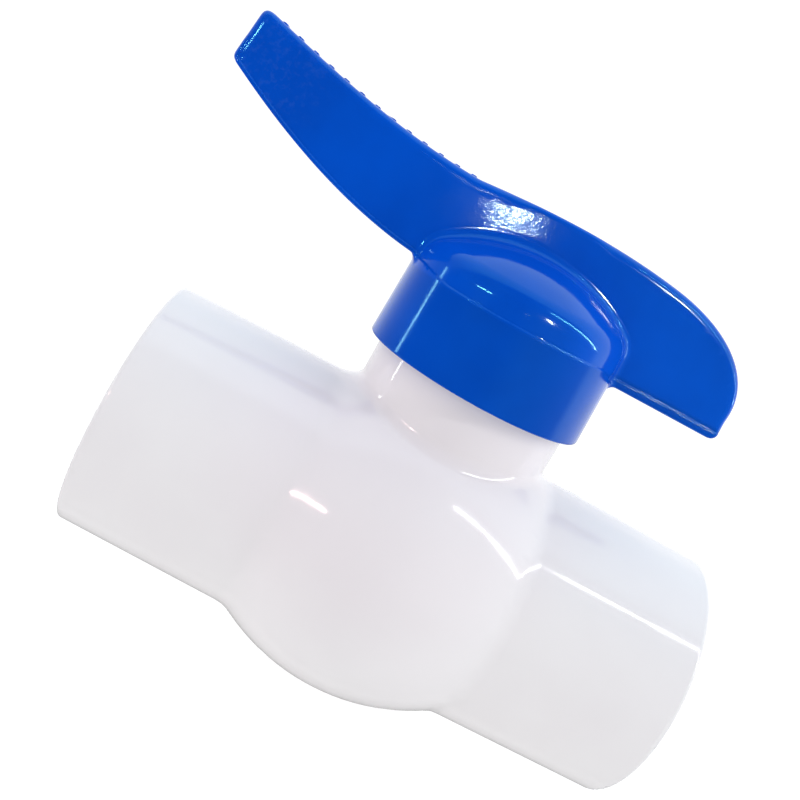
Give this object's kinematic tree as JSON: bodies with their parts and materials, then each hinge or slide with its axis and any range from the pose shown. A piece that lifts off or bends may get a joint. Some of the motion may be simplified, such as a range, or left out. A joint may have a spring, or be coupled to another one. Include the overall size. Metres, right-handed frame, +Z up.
{
  "type": "ball valve",
  "caption": "Compact plastic ball valve with plain solvent sockets for 50 mm pipe and a two-winged quarter-turn lever over a domed skirt.",
  "frame": {"origin": "centre of the ball, where the pipe axis meets the stem axis", "axes": "+X along the pipe towards the right socket, +Z up the stem, +Y away from the viewer of the front side"},
  "size_m": [0.1501, 0.0756, 0.1305],
  "materials": {
    "body_plastic": "glossy moulded white",
    "carrier_plastic": "satin moulded light grey",
    "seat_plastic": "waxy ivory",
    "seal_rubber": "matt black",
    "ball_plastic": "polished off-white",
    "stem_plastic": "satin moulded grey",
    "handle_plastic": "glossy moulded blue",
    "screw_steel": "bright stainless"
  },
  "bodies": {
    "valve_body": {"body": "body_plastic", "carrier_left": "carrier_plastic", "carrier_right": "carrier_plastic", "seat_left": "seat_plastic", "seat_right": "seat_plastic", "seat_cushion_left": "seal_rubber", "seat_cushion_right": "seal_rubber", "stem_gland": "carrier_plastic", "gland_oring": "seal_rubber"},
    "lever": {"handle": "handle_plastic", "stem": "stem_plastic", "thrust_washer": "seat_plastic", "stem_oring_lower": "seal_rubber", "stem_oring_upper": "seal_rubber", "handle_screw": "screw_steel", "lock_washer": "screw_steel", "screw_cap": "handle_plastic"},
    "ball": {"ball": "ball_plastic"}
  },
  "joints": [
    {"name": "lever_turn", "type": "hinge", "parent": "valve_body", "child": "lever", "pos_m": [0, 0, 0.045], "axis": [0, 0, 1], "range_deg": [-90, 0]},
    {"name": "ball_turn", "type": "hinge", "parent": "valve_body", "child": "ball", "pos_m": [0, 0, 0], "axis": [0, 0, 1], "range_deg": [-90, 0]}
  ],
  "couplings": [
    {"joint": "ball_turn", "follows": "lever_turn", "ratio": 1}
  ]
}
